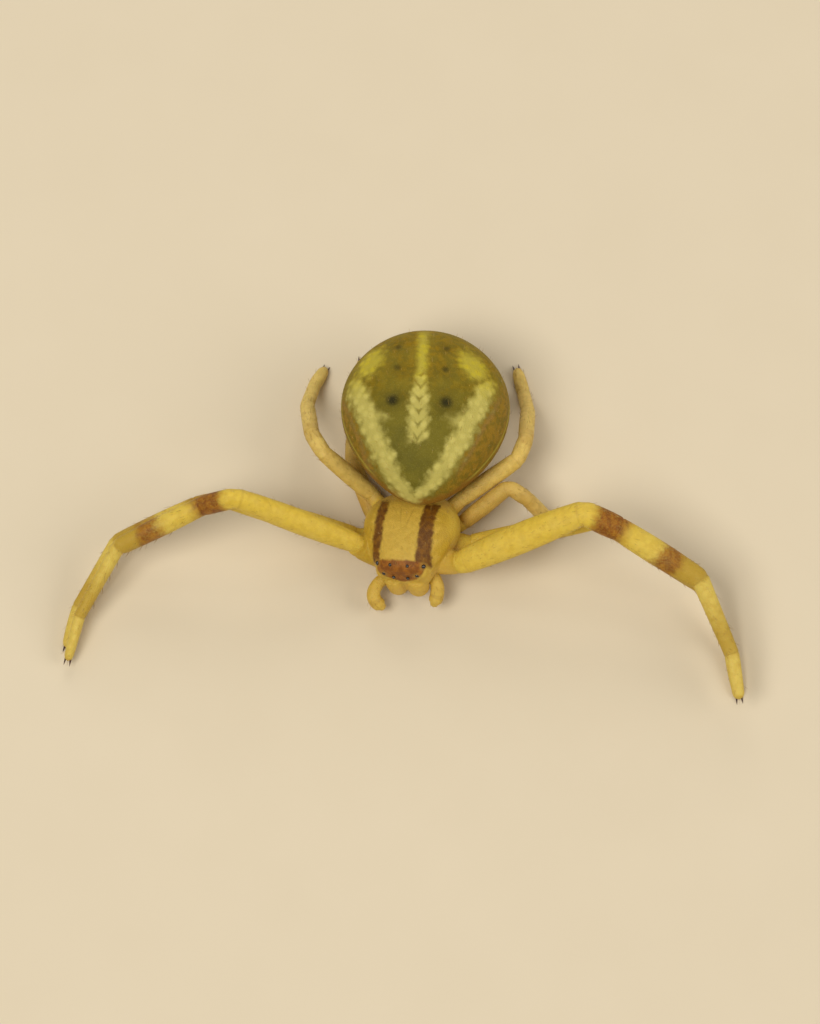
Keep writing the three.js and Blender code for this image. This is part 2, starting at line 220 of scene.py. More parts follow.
def ball(centre, radii, turn=None, sides=24):
    rings = []
    for r in range(1, sides // 2):
        tilt = math.pi * r / (sides // 2)
        rings.append([(math.cos(a) * math.sin(tilt), math.sin(a) * math.sin(tilt), -math.cos(tilt))
                      for a in (2 * math.pi * k / sides for k in range(sides))])
    points, faces = loft(rings, (0, 0, -1), (0, 0, 1))
    turn = turn or Matrix.Identity(3)
    points = [Vector(centre) + turn @ Vector([p[i] * radii[i] for i in range(3)]) for p in points]
    return points, faces


def sweep(points, radii, sides=12):  # a tapered piece along a line of points
    rings = []
    for i, at in enumerate(points):
        run = (points[min(i + 1, len(points) - 1)] - points[max(i - 1, 0)]).normalized()
        across = Vector((0.01, 0, 1)).cross(run).normalized()
        up = run.cross(across)
        rings.append([at + radii[i] * (across * math.cos(a) + up * math.sin(a))
                      for a in (2 * math.pi * k / sides for k in range(sides))])
    run = (points[-1] - points[-2]).normalized()
    return loft(rings, points[0], points[-1] + run * radii[-1] * 0.6)


def direction(side, heading, slope):
    h, s = math.radians(heading), math.radians(slope)
    return Vector((side * math.cos(h) * math.cos(s), math.sin(h) * math.cos(s), math.sin(s)))


def ease(table, place, column):  # a smooth value between the rows of a table
    i = 0
    while i < len(table) - 2 and place > table[i + 1][0]:
        i += 1
    a, b = table[i], table[i + 1]
    span = b[0] - a[0]
    f = min(max((place - a[0]) / span, 0), 1)

    def slope(k):
        low, high = table[max(k - 1, 0)], table[min(k + 1, len(table) - 1)]
        return (high[column] - low[column]) / (high[0] - low[0]) * span

    f2, f3 = f * f, f ** 3
    return ((2 * f3 - 3 * f2 + 1) * a[column] + (f3 - 2 * f2 + f) * slope(i)
            + (3 * f2 - 2 * f3) * b[column] + (f3 - f2) * slope(i + 1))


def squared(angle, halfWidth, top, underside, level, bend):  # a point of a squared ellipse
    c, s = math.cos(angle), math.sin(angle)
    reach = top - level if s > 0 else level - underside
    return (halfWidth * math.copysign(abs(c) ** (2 / bend), c),
            level + reach * math.copysign(abs(s) ** (2 / bend), s))


limbs = {
    "lengths": {
        1: [0.45, 0.32, 5.0, 1.42, 3.55, 2.95, 1.6],
        2: [0.35, 0.22, 4.9, 1.35, 3.3, 2.75, 1.5],
        3: [0.3, 0.2, 2.12, 0.85, 1.4, 1.0, 0.88],
        4: [0.32, 0.22, 2.5, 0.92, 2.05, 1.35, 0.9],
    },
    "radii": {
        1: [(0.42, 0.44, 0.42), (0.4, 0.41, 0.41), (0.44, 0.54, 0.42), (0.42, 0.45, 0.43),
            (0.41, 0.45, 0.38), (0.32, 0.29, 0.26), (0.26, 0.24, 0.2)],
        2: [(0.33, 0.35, 0.34), (0.33, 0.33, 0.34), (0.37, 0.42, 0.36), (0.36, 0.38, 0.36),
            (0.35, 0.37, 0.32), (0.29, 0.27, 0.25), (0.25, 0.25, 0.2)],
        3: [(0.28, 0.29, 0.28), (0.27, 0.27, 0.27), (0.29, 0.32, 0.28), (0.28, 0.29, 0.28),
            (0.27, 0.28, 0.26), (0.25, 0.25, 0.24), (0.24, 0.24, 0.19)],
        4: [(0.28, 0.3, 0.29), (0.28, 0.28, 0.28), (0.3, 0.33, 0.29), (0.29, 0.3, 0.29),
            (0.28, 0.29, 0.27), (0.26, 0.25, 0.24), (0.24, 0.24, 0.19)],
    },
    "sink": 0.5, "sole": 0.13, "bend": 1.15, "step": 0.07, "sides": 28, "pinch": 0.07,
    "begin": 1.45,  # place on each leg where its own skin starts, inside the front body's
}
# node, pair, side, root, breadth in plan and in height, headings, slopes
legs = [
    ("leg_1_left", 1, 1, (1.0, -4.15, 1.75), (1.06, 0.9),
     (-11, -8, 15, -21, -29, -65, -80), (30, 47, 26, -16, -15, -22, -18)),
    ("leg_1_right", 1, -1, (-1.8, -3.64, 1.42), (0.82, 1.02),
     (18, 24, 13, -4, -21, -58, -74), (26, 41, 27, -31, -20, -24, -19)),
    ("leg_2_left", 2, 1, (1.33, -3.27, 1.42), (1, 0.96),
     (-1, -7, 6, -27, -30, -66, -80), (-19, -15, 18, -14, -17, -24)),
    ("leg_2_right", 2, -1, (-1.87, -2.93, 0.92), (1, 0.96),
     (3, 6, 11, -5, -20, -58, -74), (-8, 13, 20, -18, -19, -16)),
    ("leg_3_left", 3, 1, (1.22, -2.62, 1.22), (1, 1),
     (26, 31, 33, -28, -22, -1, 12), (-10, 16, 26, -23, -60, -35)),
    ("leg_3_right", 3, -1, (-1.62, -2.3, 0.62), (1, 1),
     (68, 76, 70, 92, 95, 98, 92), (-19, -4, 5, -8, -12, -10)),
    ("leg_4_left", 4, 1, (1.16, -2.0, 1.56), (1, 1),
     (42, 36, 32, 70, 86, 98, 105), (14, 22, 17, -12, -41, -40)),
    ("leg_4_right", 4, -1, (-1.46, -1.82, 1.3), (1, 1),
     (54, 48, 33, 61, 83, 104, 116), (10, 16, 33, -10, -40, -35)),
]
palps = {
    "lengths": {5: [0.24, 0.3, 0.22, 0.24, 0.38]},
    "radii": {5: [(0.22, 0.23, 0.23), (0.23, 0.24, 0.24), (0.24, 0.25, 0.25), (0.25, 0.26, 0.25),
                  (0.25, 0.25, 0.17)]},
    "limbs": [
        ("palp_left", 5, 1, (0.32, -4.42, 1.42), (1, 1),
         (-42, -62, -82, -98, -112), (-14, -24, -34, -36, -32)),
        ("palp_right", 5, -1, (-1.33, -4.56, 1.04), (1, 1),
         (-36, -56, -80, -112, -146), (-6, -14, -24, -28, -24)),
    ],
}


def limbJoints(limb, lengths):  # from just inside the body to the tip
    name, pair, side, root, breadth, headings, slopes = limb
    at = Vector(root) + waist
    joints = [at - direction(side, headings[0], slopes[0]) * limbs["sink"]]
    for i, length in enumerate(lengths):
        if i < len(slopes):
            slope = slopes[i]
        else:  # a foot with no slope of its own comes down to the floor
            slope = -math.degrees(math.asin((at.z - limbs["sole"]) / length))
        at = at + direction(side, headings[i], slope) * length
        joints.append(at)
    return joints


def limbStations(joints, radii):  # (point, radius, place) all along a limb, rounded at its joints
    runs = [b - a for a, b in zip(joints, joints[1:])]
    reach = [r.length for r in runs]
    runs = [r.normalized() for r in runs]
    last = len(runs) - 1

    def radiusAt(i, f):
        a, b, c = radii[i]
        bow = 4 * f * (1 - f)
        return a + (c - a) * f + (b - (a + c) / 2) * bow

    turns = [0.0] * len(joints)
    for j in range(1, last + 1):
        wanted = limbs["bend"] * radiusAt(j, 0) * math.tan(runs[j - 1].angle(runs[j]) / 2) + 0.05
        turns[j] = min(wanted, 0.45 * min(reach[j - 1], reach[j]))
    stations = []
    for i, run in enumerate(runs):
        start, end = turns[i] / reach[i], 1 - turns[i + 1] / reach[i]
        count = max(2, round((end - start) * reach[i] / limbs["step"]))
        for k in range(count + 1):
            f = start + (end - start) * k / count
            stations.append((joints[i] + run * reach[i] * f, radiusAt(i, f), i + f))
        if i < last:
            corner = joints[i + 1]
            before, after = corner - run * turns[i + 1], corner + runs[i + 1] * turns[i + 1]
            f0, f1 = end, turns[i + 1] / reach[i + 1]
            for k in range(1, 7):
                f = k / 7
                at = before.lerp(corner, f).lerp(corner.lerp(after, f), f)
                radius = radiusAt(i, f0) * (1 - f) + radiusAt(i + 1, f1) * f
                groove = limbs["pinch"] * min(reach[i], 1) ** 2 * math.exp(-((f - 0.5) / 0.16) ** 2)
                stations.append((at, radius * (1 - groove), i + f0 + (1 - f0 + f1) * f))
    return stations


def legStations(leg):
    pair = leg[1]
    return limbStations(limbJoints(leg, limbs["lengths"][pair]), limbs["radii"][pair])


def limbSurface(limb, lengths, radii, begin):  # rings along a limb from a place on it to its tip
    breadth = limb[4]
    joints = limbJoints(limb, lengths)
    tip, out = joints[-1], (joints[-1] - joints[-2]).normalized()
    end = radii[-1][2]
    stations = [s for s in limbStations(joints, radii) if s[2] >= begin]
    stations = [s for s in stations if (tip - s[0]).length > 0.1 or s[2] < len(lengths) - 0.5]
    stations.append((tip - out * 0.06, end * 0.93, len(lengths) - 0.03))
    stations.append((tip + out * 0.02, end * 0.75, len(lengths)))
    sides = limbs["sides"]
    rings, values = [], []
    for i, (at, radius, place) in enumerate(stations):
        run = stations[min(i + 1, len(stations) - 1)][0] - stations[max(i - 1, 0)][0]
        run.normalize()
        across = Vector((0, 0, 1)).cross(run).normalized()
        up = run.cross(across)
        ring = []
        for k in range(sides):
            angle = 2 * math.pi * k / sides
            at2 = at + radius * (across * breadth[0] * math.cos(angle) + up * breadth[1] * math.sin(angle))
            at2.z = max(at2.z, 0.0)
            ring.append(at2)
            values.append((place, run, k / sides))
        rings.append(ring)
    points, faces = loft(rings, stations[0][0], tip + out * end * 0.5)
    points[-1].z = max(points[-1].z, 0.0)
    values = [values[0], *values, (len(lengths), out, 0)]
    return points, faces, values


prosoma = {
    "centre": Vector((-0.31, -3.05, 1.75)) + waist, "yaw": -9.5, "roll": -15, "bend": 2.4,
    "sides": 96, "rows": 110, "voxel": 0.045, "smoothing": 4,
    # place from the face to the waist, half width, top, underside
    "shape": [
        (-1.8, 0.88, 0.5, -0.56), (-1.72, 0.99, 0.76, -0.64), (-1.45, 1.09, 0.95, -0.78),
        (-1.0, 1.34, 1.06, -0.86), (-0.4, 1.66, 1.12, -0.93), (0.2, 1.8, 1.1, -0.95),
        (0.8, 1.66, 0.9, -0.9), (1.3, 1.24, 0.5, -0.78), (1.7, 0.66, 0.04, -0.64),
        (1.98, 0.34, -0.14, -0.6), (2.55, 0.28, -0.16, -0.58),
    ],
    # sideways, from the centre, up, radius
    "eyes": {
        "front_middle": (0.27, -1.84, 0.36, 0.08), "rear_middle": (0.33, -1.54, 0.86, 0.08),
        "front_side": (0.63, -1.73, 0.46, 0.105), "rear_side": (0.88, -1.44, 0.66, 0.1),
    },
    "eyeShare": 0.85,  # the dressed eyes' share of the solid ones
    "mound": {"middle": 1.35, "side": 2.0, "sink": 0.11},
    "chelicera": {"spread": 0.43, "pinch": 0.86, "top": (-1.62, -0.16), "bottom": (-1.84, -1.0),
                  "radii": (0.4, 0.43, 0.4, 0.27)},
    "mouthpart": {"place": (0.3, -1.35, -0.95), "radii": (0.24, 0.4, 0.2)},
    "hip": 1.75,  # place on each leg where the front body's skin ends
}
prosomaTurn = (Matrix.Rotation(math.radians(prosoma["yaw"]), 3, "Z")
               @ Matrix.Rotation(math.radians(prosoma["roll"]), 3, "Y"))


def onProsoma(x, y, z):
    return prosoma["centre"] + prosomaTurn @ Vector((x, y, z))


def jawTip(side):
    jaw = prosoma["chelicera"]
    return onProsoma(side * jaw["spread"] * jaw["pinch"], *jaw["bottom"])


def prosomaSurface():
    shape = prosoma["shape"]
    first, last = shape[0][0], shape[-1][0]
    rings = []
    for r in range(prosoma["rows"] + 1):
        place = first + (last - first) * (r / prosoma["rows"]) ** 1.35
        half, top, underside = (ease(shape, place, column) for column in (1, 2, 3))
        ring = []
        for k in range(prosoma["sides"]):
            angle = -2 * math.pi * k / prosoma["sides"]
            x, z = squared(angle, half, top, underside, (top + underside) / 2, prosoma["bend"])
            ring.append(onProsoma(x, place, z))
        rings.append(ring)
    return loft(rings, onProsoma(0, first - 0.1, -0.05), onProsoma(0, last + 0.02, -0.36))


def makeProsoma(material):
    surfaces = [prosomaSurface()]
    mound = prosoma["mound"]
    for name, (x, y, z, radius) in prosoma["eyes"].items():
        for side in (1, -1):
            inside = onProsoma(side * (x - mound["sink"]), y + mound["sink"], z - mound["sink"])
            surfaces.append(ball(inside, [radius * mound[name.split("_")[1]]] * 3))
    jaw, mouthpart = prosoma["chelicera"], prosoma["mouthpart"]
    for side in (1, -1):
        top, bottom = onProsoma(side * jaw["spread"], *jaw["top"]), jawTip(side)
        surfaces.append(sweep([top.lerp(bottom, f) for f in (0, 0.35, 0.75, 1)], jaw["radii"], 24))
        x, y, z = mouthpart["place"]
        surfaces.append(ball(onProsoma(side * x, y, z), mouthpart["radii"], prosomaTurn))
    for leg in legs:
        stations = [s for s in legStations(leg) if s[2] <= prosoma["hip"]][::2]
        surfaces.append(sweep([s[0] for s in stations], [s[1] * 1.03 for s in stations], 20))
    skin = melted("prosomaSkin", surfaces, prosoma["voxel"], prosoma["smoothing"])
    addUnwrap(skin, prosoma["centre"], Vector((0, 1, 0)), 0.05)
    nodes = ["prosoma", "chelicera_left", "chelicera_right"]
    return dress("bodySkin", skin, material, nodes)


# The coat's lie, and each root's place on an unwrap round the long axis
def addUnwrap(mesh, centre, lie, corner):
    lies = mesh.attributes.new("lie", "FLOAT_VECTOR", "POINT")
    flats = mesh.attributes.new("flat", "FLOAT_VECTOR", "POINT")
    for vertex, lieItem, flatItem in zip(mesh.vertices, lies.data, flats.data):
        away = vertex.co / millimetre - centre
        turn = math.atan2(away.x, away.z) / math.tau + 0.5
        lieItem.vector = lie
        flatItem.vector = (corner + turn * 0.4, 0.5 + away.y * 0.08, 0)


def makeEyes(material):
    surfaces = []
    for x, y, z, radius in prosoma["eyes"].values():
        for side in (1, -1):
            surfaces.append(ball(onProsoma(side * x, y, z), [radius * prosoma["eyeShare"]] * 3, sides=32))
    points, faces = joined(surfaces)
    nodes = [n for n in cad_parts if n.startswith("eye_")]
    return dress("eyes", makeMesh("eyes", points, faces), material, nodes)


abdomen = {
    "centre": Vector((0.17, 0.9, 0)) + waist, "yaw": -3.3, "bend": 2.1,
    "halfLength": 3.44, "halfWidth": 3.07, "rise": 2.2, "depth": 2.85, "axis": 3.0, "lift": 0.62,
    # how the egg widens to the rear and tapers, and how its belly sags and tucks up in front
    "widen": 0.53, "taper": 0.4, "sag": 0.25, "tuck": 1.9,
    "sides": 150, "rows": 110, "voxel": 0.075, "smoothing": 4,
    "middle": -0.2,  # the markings' middle line, off the egg's own
    # sideways from the tail, up, radius, length
    "spinnerets": [(0.19, -0.16, 0.19, 0.85), (0.17, 0.2, 0.15, 0.72)],
    "tail": (2.8, 1.95, -32),  # along, up, pitch
    # sideways from the middle line, along, depth, radius
    "dimples": [(0.98, 0.0, 0.09, 0.26), (0.88, 1.35, 0.05, 0.16), (0.9, 2.3, 0.04, 0.14)],
}
abdomenTurn = Matrix.Rotation(math.radians(abdomen["yaw"]), 3, "Z")


def abdomenPoint(t, angle):
    full = math.sqrt(max(1 - t * t, 0))
    half = (abdomen["halfWidth"] + abdomen["widen"] * t - abdomen["taper"] * t * t) * full
    level = abdomen["axis"] + abdomen["lift"] * ((1 - t) / 2) ** 2
    depth = (abdomen["depth"] + abdomen["sag"] * t - abdomen["tuck"] * min(t, 0) ** 2) * full
    x, z = squared(angle, half, abdomen["rise"] * full, -depth, 0, abdomen["bend"])
    y = t * abdomen["halfLength"]
    if math.sin(angle) > 0:  # small pits in the back, where muscles are fixed inside
        for across, along, deep, radius in abdomen["dimples"]:
            away = math.hypot(abs(x - abdomen["middle"]) - across, y - along) / radius
            z -= deep * math.exp(-away * away)
    return abdomen["centre"] + abdomenTurn @ Vector((x, y, level + z))


def makeAbdomen(material):
    rings = []
    for r in range(1, abdomen["rows"]):
        t = -math.cos(math.pi * r / abdomen["rows"])
        turns = [-math.tau * k / abdomen["sides"] for k in range(abdomen["sides"])]
        rings.append([abdomenPoint(t, turn) for turn in turns])
    surfaces = [loft(rings, abdomenPoint(-1, 0), abdomenPoint(1, 0))]
    back, height, pitch = abdomen["tail"]
    tail = abdomenTurn @ direction(1, 90, pitch)
    for x, z, radius, length in abdomen["spinnerets"]:
        for side in (1, -1):
            root = abdomen["centre"] + abdomenTurn @ Vector((side * x, back, height + z))
            spots = [root + tail * length * f for f in (0, 0.5, 0.8, 0.86, 1)]
            surfaces.append(sweep(spots, [radius, radius * 1.05, radius, radius * 0.82, radius * 0.6], 20))
    skin = melted("abdomenSkin", surfaces, abdomen["voxel"], abdomen["smoothing"])
    addUnwrap(skin, abdomen["centre"] + Vector((0, 0, abdomen["axis"])), Vector((0, 1, -0.3)), 0.5)
    return dress("abdomenSkin", skin, material, ["abdomen"])


def makeLimbs(name, given, lengths, radii, begin, material):
    points, faces = [], []
    made = {"place": [], "pair": [], "lie": [], "flat": []}
    for column, limb in enumerate(given):
        pair = limb[1]
        more, rims, values = limbSurface(limb, lengths[pair], radii[pair], begin)
        start = len(points)
        points += more
        faces += [tuple(i + start for i in rim) for rim in rims]
        for place, run, turn in values:
            made["place"].append(place)
            made["pair"].append(float(pair))
            made["lie"].append(run)
            made["flat"].append(Vector((0.02 + column * 0.12 + turn * 0.08, 0.05 + place * 0.12, 0)))
    mesh = makeMesh(name, points, faces, made)
    return dress(name, mesh, material, [limb[0] for limb in given])


claws = {"length": 0.24, "radius": 0.05, "spread": 0.08, "droop": 0.1, "sink": 0.14}


def makeClaws(material):
    surfaces = []
    for leg in legs:
        joints = limbJoints(leg, limbs["lengths"][leg[1]])
        tip, out = joints[-1], (joints[-1] - joints[-2]).normalized()
        across = Vector((0, 0, 1)).cross(out).normalized()
        for hand in (1, -1):
            spots = []
            for f in (0, 0.25, 0.5, 0.75, 1):
                at = tip + across * hand * claws["spread"] * (1 + 0.4 * f)
                at += out * (-claws["sink"] + (claws["sink"] + claws["length"]) * f)
                at.z = max(at.z - claws["droop"] * f * f, 0.03)
                spots.append(at)
            radii = [claws["radius"] * share for share in (1, 1, 0.8, 0.5, 0.12)]
            surfaces.append(sweep(spots, radii, 10))
    points, faces = joined(surfaces)
    return dress("claws", makeMesh("claws", points, faces), material)


fangs = {"inwards": 0.34, "back": 0.12, "dip": 0.2, "radii": [0.1, 0.1, 0.08, 0.05, 0.015]}


def makeFangs(material):
    surfaces = []
    for side in (1, -1):
        spots = []
        for f in (0, 0.25, 0.5, 0.75, 1):
            drop = -fangs["dip"] * math.sin(math.pi * (0.25 + 0.6 * f))
            spots.append(jawTip(side) + Vector((-side * fangs["inwards"] * f, fangs["back"] * f, drop)))
        surfaces.append(sweep(spots, fangs["radii"], 12))
    points, faces = joined(surfaces)
    return dress("fangs", makeMesh("fangs", points, faces), material)


# Markings in millimetres, along from the egg's middle and across from the middle line
abdomenFinish = {
    "vertex": -3.38, "armSpread": 0.99, "armCurve": 0.62, "armEnd": (0.6, 1.4), "spur": -0.62,
    "patch": {"across": 1.86, "along": 1.7, "halfWidth": 0.56, "halfLength": 0.78, "slant": 0.35},
    "stripe": {"halfWidth": 0.34, "front": (0.8, 1.3), "rear": (2.7, 3.7)},
    "row": {"cell": 0.49, "halfWidth": 0.5, "front": (-1.75, -1.35), "rear": (0.9, 1.4)},
    "paintedHighlight": 0.3,  # height of a painted highlight, a thin pale line along the egg's side, over its broadest line
    "colours": {
        "olive": (0.142, 0.119, 0.009), "rear": (0.3, 0.182, 0.002), "dark": (0.12, 0.1, 0.007),
        "light": (0.22, 0.178, 0.015), "flank": (0.2, 0.135, 0.008), "flankLight": (0.31, 0.18, 0.012),
        "rim": (0.25, 0.12, 0.01), "belly": (0.3, 0.21, 0.04), "blush": (0.32, 0.18, 0.07),
        # on the next line, the pale yellow after the blush is a painted highlight, not a colour of the skin
        "paintedHighlight": (0.47, 0.42, 0.06), "cream": (0.61, 0.53, 0.14), "creamRear": (0.6, 0.49, 0.03),
        "creamShade": (0.4, 0.34, 0.07), "pit": (0.022, 0.019, 0.002), "speck": (0.5, 0.43, 0.11),
    },
}


def abdomenPaint():
    paint = Paint("abdomenSkin", {
        "Subsurface Weight": 0.15, "Subsurface Radius": (1.0, 0.8, 0.3), "Subsurface Scale": 0.0002,
        "Specular IOR Level": 0.22, "IOR": 1.4,
    })
    broad, patchy, fine = paint.clouds(1.2, 4.5, 14)
    cell = paint.grain(3.4)
    ragged = (cell - 0.35) * 0.2 + patchy * 0.3 + fine * 0.12
    x = paint.along(abdomenTurn @ Vector((1, 0, 0)), abdomen["centre"]) - abdomen["middle"]
    y = paint.along(abdomenTurn @ Vector((0, 1, 0)), abdomen["centre"])
    z = paint.along((0, 0, 1), (0, 0, 0))
    across = abs(x)
    marks, colours = abdomenFinish, abdomenFinish["colours"]
    # the pale V, whose arms curve apart, are broadest half way and send a spur inwards
    arm = (y - marks["vertex"]).most(0.001) ** marks["armCurve"] * marks["armSpread"]
    inward = arm - across + broad * 0.3
    band = (abs(inward) + (y + 1) ** 2 * 0.025 + ragged).fall(0.2, 0.6)
    band = band * (y + broad * 2).fall(*marks["armEnd"])
    spur = (abs(y - marks["spur"] + broad * 0.5) + inward * 0.68 + ragged * 0.8).fall(0.25, 0.8)
    spur = spur * inward.rise(-0.1, 0.2)
    blush = abs(inward + 0.58 + patchy * 0.2).fall(0.0, 0.14) * y.fall(0.2, 1.0) * y.rise(-2.8, -2.0)
    # pale clouded patches behind the arms
    patch = marks["patch"]
    ahead = y - patch["along"]
    aside = (across - patch["across"] + ahead * patch["slant"]) / patch["halfWidth"]
    patches = (aside ** 2 + (ahead / patch["halfLength"]) ** 2) ** 0.5 + ragged * 1.8 + broad * 0.8
    patches = patches.fall(0.4, 1.3)
    # the pale middle stripe, which breaks up in front into a braid of pale cells
    stripe = (across + ragged * 0.5 + broad * 0.1).fall(0.05, marks["stripe"]["halfWidth"])
    stripe = stripe * (y + patchy).rise(*marks["stripe"]["front"]) * y.fall(*marks["stripe"]["rear"])
    braid = marks["row"]
    lobe = 0.5 - abs(((y - across * 1.2 + patchy * 0.3) / braid["cell"]).maths("FRACT") - 0.5)
    edge = across - lobe.least(0.3) * 0.2 + y.rise(-0.3, 1.3) * 0.22 + ragged * 0.8
    row = edge.fall(0.18, braid["halfWidth"])
    row = row * (y + patchy * 0.8).rise(*braid["front"]) * y.fall(*braid["rear"])
    notch = (lobe + fine * 0.2).fall(0.0, 0.3) * (across + patchy * 0.3).fall(0.0, 0.28)
    row = row * (1 - notch * 0.75)
    pale = band.most(spur * 0.8).most(patches * 0.9).most(stripe * 0.9).most(row * 0.95)
    pale = pale * z.rise(3.55, 3.85)
    # dark pits with a faint ring of shade, the front pair the darkest
    pits = None
    for side, along, deep, radius in abdomen["dimples"]:
        away = ((across - side) ** 2 + (y - along) ** 2) ** 0.5 + ragged * 0.12
        strength = 0.97 if along < 1 else 0.65
        pit = away.fall(0.04, radius * 1.6).most(away.fall(0.1, 0.75) * 0.3) * strength
        pits = pit if pits is None else pits.most(pit)
    # olive back, browner flanks and front rim, tan belly
    olive = paint.mix(y.rise(-1.4, 2.6), colours["olive"], colours["rear"])
    olive = paint.mix((patchy + 0.5).rise(0.38, 0.62) * 0.5, olive, colours["dark"])
    olive = paint.mix((broad + 0.5).rise(0.4, 0.62) * 0.4, olive, colours["light"])
    flank = paint.mix((patchy + 0.5).rise(0.35, 0.65), colours["flank"], colours["flankLight"])
    ground = paint.mix((inward * -1 + ragged).rise(0.3, 0.7) * y.fall(0.8, 2.2), olive, flank)
    rim = (z + y * 0.35 + broad).fall(2.6, 3.1) * y.fall(-2.4, -1.2)
    ground = paint.mix(rim, ground, colours["rim"])
    ground = paint.mix((z + patchy).fall(1.3, 2.4), ground, colours["belly"])
    ground = paint.mix(blush * 0.3, ground, colours["blush"])
    half = abdomen["halfLength"]
    level = z - abdomen["axis"] - ((half - y) / (2 * half)) ** 2 * abdomen["lift"]
    # a painted highlight: a thin pale yellow line along each side, a little over the egg's broadest line,
    # in the front half
    paintedHighlight = abs(level - marks["paintedHighlight"] + patchy * 0.1).fall(0.02, 0.12) * y.rise(-2.7, -2.1) * y.fall(0.4, 1.2)
    ground = paint.mix(paintedHighlight * 0.6, ground, colours["paintedHighlight"])
    cream = paint.mix((y + patchy).rise(0.0, 1.5), colours["cream"], colours["creamRear"])
    cream = paint.mix(cell.rise(0.2, 0.6) * 0.4, cream, colours["creamShade"])
    colour = paint.mix(pits, paint.mix(pale * 0.95, ground, cream), colours["pit"])
    speck = paint.grain(17)
    colour = paint.mix(speck.fall(0.0, 0.45) * 0.16, colour, colours["speck"])
    height = speck * -0.5 + paint.cloud(4, 4) * 1.2 + cell * -0.5
    return paint.finish(colour, 0.5 + paint.cloud(6) * 0.2, height, 0.028)


# Markings in the front body's own millimetres, sideways and along from its middle
carapaceFinish = {
    "stripes": [(-0.97, 0.16), (0.86, 0.23)],  # middle and half width, right and left
    "stripeEnds": ((0.85, 1.1), (-1.5, -1.3)),
    "crescent": {"rear": -1.36, "drop": 0.6, "halfWidth": (1.05, 1.25)},
    "rim": {"halfWidth": 1.85, "halfLength": 1.95, "middle": -0.1},
    "colours": {
        "front": (0.62, 0.41, 0.058), "rear": (0.69, 0.455, 0.06), "side": (0.54, 0.345, 0.026),
        "cloud": (0.44, 0.27, 0.028), "face": (0.62, 0.4, 0.07), "edge": (0.66, 0.46, 0.05),
        "hips": (0.6, 0.4, 0.08), "groove": (0.25, 0.12, 0.01), "umber": (0.12, 0.038, 0.002),
        "umberLight": (0.21, 0.08, 0.003), "rust": (0.2, 0.055, 0.003), "rustLight": (0.31, 0.1, 0.005),
        "knob": (0.42, 0.26, 0.04), "speck": (0.62, 0.46, 0.12),
    },
}


def carapacePaint():
    paint = Paint("carapaceSkin", {
        "Subsurface Weight": 0.15, "Subsurface Radius": (1.0, 0.6, 0.2), "Subsurface Scale": 0.0002,
        "Coat Weight": 0.05, "Coat Roughness": 0.35, "Specular IOR Level": 0.25,
    })
    broad, patchy, fine = paint.clouds(1.5, 5, 15)
    ragged = broad * 0.12 + patchy * 0.2 + fine * 0.08
    x, y, z = (paint.along(prosomaTurn @ Vector(axis), prosoma["centre"])
               for axis in ((1, 0, 0), (0, 1, 0), (0, 0, 1)))
    across = abs(x)
    marks, colours = carapaceFinish, carapaceFinish["colours"]
    # two dark stripes from the eyes to the waist, the left one broader
    (right, rightHalf), (left, leftHalf) = marks["stripes"]
    rear, front = marks["stripeEnds"]
    stripe = (abs(x - right) - rightHalf).least(abs(x - left) - leftHalf) + ragged
    stripe = stripe.fall(-0.04, 0.1) * (y + ragged * 2).fall(*rear) * y.rise(*front) * z.rise(0.2, 0.45)
    # the rusty crescent that holds the eyes
    band = marks["crescent"]
    brow = (y - band["rear"] + ragged * 0.6).fall(-0.05, 0.06)
    crescent = brow * (z - 0.03 - across ** 1.6 * band["drop"] + ragged * 0.6).rise(-0.05, 0.1)
    crescent = crescent * across.fall(*band["halfWidth"])
    knob = None
    for name in ("front_side", "rear_side"):
        ex, ey, ez, radius = prosoma["eyes"][name]
        away = ((across - ex) ** 2 + (y - ey) ** 2 + (z - ez) ** 2) ** 0.5
        ring = away.fall(radius * 1.2, radius * 2.2)
        knob = ring if knob is None else knob.most(ring)
    # tan all over, duller where the hips of the two rear pairs leave the rim
    tan = paint.mix(y.rise(-0.8, 1.2), colours["front"], colours["rear"])
    tan = paint.mix((across + patchy).rise(1.0, 1.35), tan, colours["side"])
    tan = paint.mix((patchy + 0.5).rise(0.35, 0.65) * 0.35, tan, colours["cloud"])
    ground = paint.mix((z - y * 0.3).rise(0.1, 0.6), colours["face"], tan)
    ground = paint.mix((across + y * 0.2).rise(1.45, 1.9), ground, colours["edge"])
    rim = marks["rim"]
    beyond = ((across / rim["halfWidth"]) ** 2 + ((y - rim["middle"]) / rim["halfLength"]) ** 2) ** 0.5
    ground = paint.mix(beyond.rise(0.99, 1.08) * y.rise(0.2, 0.45), ground, colours["hips"])
    groove = abs(across - 0.12 - y * 0.2).fall(0.0, 0.05) * y.rise(-0.3, 0.1) * y.fall(0.5, 0.8)
    ground = paint.mix(groove * z.rise(0.5, 0.8) * 0.25, ground, colours["groove"])
    umber = paint.mix((patchy + 0.5).rise(0.4, 0.65), colours["umber"], colours["umberLight"])
    colour = paint.mix(stripe * 0.97, ground, umber)
    rust = paint.mix((patchy + 0.5).rise(0.4, 0.6), colours["rust"], colours["rustLight"])
    colour = paint.mix(crescent * 0.96, colour, rust)
    colour = paint.mix(knob * 0.35, colour, colours["knob"])
    speck = paint.grain(20)
    colour = paint.mix(speck.fall(0.0, 0.4) * 0.14, colour, colours["speck"])
    height = speck * -0.5 + paint.cloud(5, 4) * 1.0
    return paint.finish(colour, 0.42 + paint.cloud(7) * 0.2, height, 0.028)


